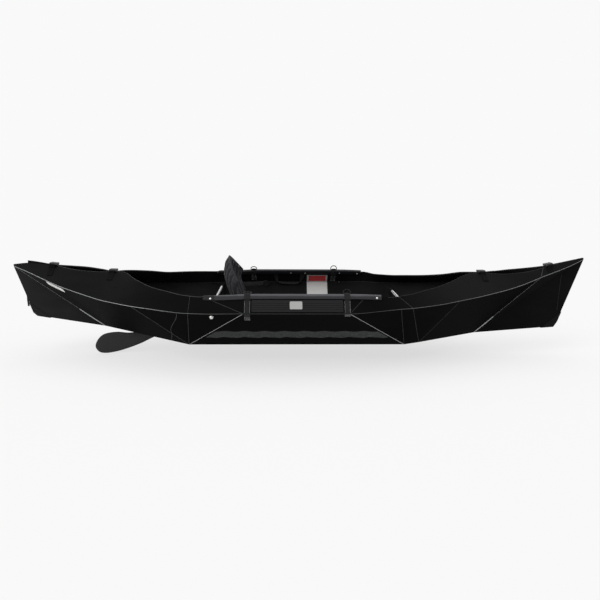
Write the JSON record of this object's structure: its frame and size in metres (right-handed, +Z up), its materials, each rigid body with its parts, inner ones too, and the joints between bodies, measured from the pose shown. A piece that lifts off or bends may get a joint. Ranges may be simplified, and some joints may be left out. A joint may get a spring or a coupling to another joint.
{
  "type": "folding kayak",
  "caption": "Open-cockpit kayak folded from a creased plastic sheet, with rails, webbing straps and buckles, bulkheads, padded seat and a slide-on fin.",
  "frame": {"origin": "on the underside of the flat floor, on the centre line, midway along the boat's length", "axes": "+X to the bow, +Y to port, +Z up"},
  "size_m": [2.743, 0.819, 0.4879],
  "materials": {
    "hull_sheet": "satin",
    "rail": "satin",
    "black_cap": "satin",
    "grey_cap": "satin",
    "stiffener": "satin",
    "webbing": "matte",
    "buckle": "satin",
    "steel": "satin",
    "board": "satin",
    "pad": "matte",
    "fin": "satin"
  },
  "bodies": {
    "hull": {"floor_panel": "hull_sheet", "starboard_strake_stern": "hull_sheet", "starboard_strake_mid": "hull_sheet", "starboard_strake_bow": "hull_sheet", "starboard_side_stern": "hull_sheet", "starboard_side_mid": "hull_sheet", "starboard_side_bow": "hull_sheet", "starboard_stern_plate": "hull_sheet", "starboard_bow_plate": "hull_sheet", "starboard_rail": "rail", "starboard_stiffener": "stiffener", "starboard_stern_rail_cap": "black_cap", "starboard_stern_rail_strap": "webbing", "starboard_bow_rail_cap": "black_cap", "starboard_bow_rail_strap": "webbing", "starboard_seat_strap": "webbing", "starboard_ladder_buckle": "buckle", "port_strake_stern": "hull_sheet", "port_strake_mid": "hull_sheet", "port_strake_bow": "hull_sheet", "port_side_stern": "hull_sheet", "port_side_mid": "hull_sheet", "port_side_bow": "hull_sheet", "port_stern_plate": "hull_sheet", "port_bow_plate": "hull_sheet", "port_rail": "rail", "port_stiffener": "stiffener", "port_stern_rail_cap": "black_cap", "port_stern_rail_strap": "webbing", "port_bow_rail_cap": "black_cap", "port_bow_rail_strap": "webbing", "port_seat_strap": "webbing", "port_ladder_buckle": "buckle", "stern_tip_buckle_socket": "buckle", "stern_cockpit_buckle_socket": "buckle", "bow_cockpit_buckle_socket": "buckle", "bow_tip_buckle_socket": "buckle", "stern_corner_cap": "grey_cap", "bow_corner_cap": "grey_cap", "floor_board": "board", "seat_pad": "pad", "fin_shoe": "fin", "port_side_loop": "webbing", "stern_strap_tail": "webbing"},
    "rear_bulkhead": {"rear_bulkhead": "board"},
    "starboard_rear_wing": {"starboard_rear_wing": "board"},
    "port_rear_wing": {"port_rear_wing": "board"},
    "foot_bulkhead": {"foot_bulkhead": "board"},
    "starboard_foot_wing": {"starboard_foot_wing": "board"},
    "port_foot_wing": {"port_foot_wing": "board"},
    "backrest": {"backrest": "pad"},
    "fin": {"fin": "fin"},
    "starboard_stern_d_ring": {"starboard_stern_d_ring": "steel"},
    "starboard_bow_d_ring": {"starboard_bow_d_ring": "steel"},
    "port_stern_d_ring": {"port_stern_d_ring": "steel"},
    "port_bow_d_ring": {"port_bow_d_ring": "steel"},
    "stern_tip_buckle_clip": {"stern_tip_buckle_clip": "buckle"},
    "stern_cockpit_buckle_clip": {"stern_cockpit_buckle_clip": "buckle"},
    "bow_cockpit_buckle_clip": {"bow_cockpit_buckle_clip": "buckle"},
    "bow_tip_buckle_clip": {"bow_tip_buckle_clip": "buckle"}
  },
  "joints": [
    {"name": "rear_bulkhead_fold", "type": "hinge", "parent": "hull", "child": "rear_bulkhead", "pos_m": [-0.41755, 0, 0.0109], "axis": [0, 1, 0], "range_deg": [-75, 0]},
    {"name": "starboard_rear_wing_fold", "type": "hinge", "parent": "rear_bulkhead", "child": "starboard_rear_wing", "pos_m": [-0.4077, -0.2053, 0.09], "axis": [0, 0, 1], "range_deg": [0, 150]},
    {"name": "port_rear_wing_fold", "type": "hinge", "parent": "rear_bulkhead", "child": "port_rear_wing", "pos_m": [-0.4077, 0.2053, 0.09], "axis": [0, 0, 1], "range_deg": [-150, 0]},
    {"name": "foot_bulkhead_fold", "type": "hinge", "parent": "hull", "child": "foot_bulkhead", "pos_m": [0.4755, 0, 0.0109], "axis": [0, 1, 0], "range_deg": [-84, 0]},
    {"name": "starboard_foot_wing_fold", "type": "hinge", "parent": "foot_bulkhead", "child": "starboard_foot_wing", "pos_m": [0.4853, -0.1783, 0.09], "axis": [0, 0, 1], "range_deg": [0, 168]},
    {"name": "port_foot_wing_fold", "type": "hinge", "parent": "foot_bulkhead", "child": "port_foot_wing", "pos_m": [0.4853, 0.1783, 0.09], "axis": [0, 0, 1], "range_deg": [-168, 0]},
    {"name": "backrest_recline", "type": "hinge", "parent": "hull", "child": "backrest", "pos_m": [-0.306, 0, 0.0216], "axis": [0, 1, 0], "range_deg": [-8, 38]},
    {"name": "starboard_stern_ring_swing", "type": "hinge", "parent": "hull", "child": "starboard_stern_d_ring", "pos_m": [-0.247, -0.34975, 0.26035], "axis": [1, 0, 0], "range_deg": [-35, 130]},
    {"name": "starboard_bow_ring_swing", "type": "hinge", "parent": "hull", "child": "starboard_bow_d_ring", "pos_m": [0.182, -0.34975, 0.26035], "axis": [1, 0, 0], "range_deg": [-70, 95]},
    {"name": "port_stern_ring_swing", "type": "hinge", "parent": "hull", "child": "port_stern_d_ring", "pos_m": [-0.247, 0.34975, 0.26035], "axis": [-1, 0, 0], "range_deg": [-75, 90]},
    {"name": "port_bow_ring_swing", "type": "hinge", "parent": "hull", "child": "port_bow_d_ring", "pos_m": [0.182, 0.34975, 0.26035], "axis": [-1, 0, 0], "range_deg": [-105, 60]},
    {"name": "stern_tip_clip_release", "type": "slide", "parent": "hull", "child": "stern_tip_buckle_clip", "axis": [0, 1, 0], "range_m": [0, 0.02]},
    {"name": "stern_cockpit_clip_release", "type": "slide", "parent": "hull", "child": "stern_cockpit_buckle_clip", "axis": [0, 1, 0], "range_m": [0, 0.02]},
    {"name": "bow_cockpit_clip_release", "type": "slide", "parent": "hull", "child": "bow_cockpit_buckle_clip", "axis": [0, 1, 0], "range_m": [0, 0.02]},
    {"name": "bow_tip_clip_release", "type": "slide", "parent": "hull", "child": "bow_tip_buckle_clip", "axis": [0, 1, 0], "range_m": [0, 0.02]},
    {"name": "fin_slide", "type": "slide", "parent": "hull", "child": "fin", "axis": [-0.997, 0, 0.0771], "range_m": [0, 0.12]}
  ],
  "couplings": [
    {"joint": "starboard_rear_wing_fold", "follows": "rear_bulkhead_fold", "ratio": -2},
    {"joint": "port_rear_wing_fold", "follows": "rear_bulkhead_fold", "ratio": 2},
    {"joint": "starboard_foot_wing_fold", "follows": "foot_bulkhead_fold", "ratio": -2},
    {"joint": "port_foot_wing_fold", "follows": "foot_bulkhead_fold", "ratio": 2}
  ]
}
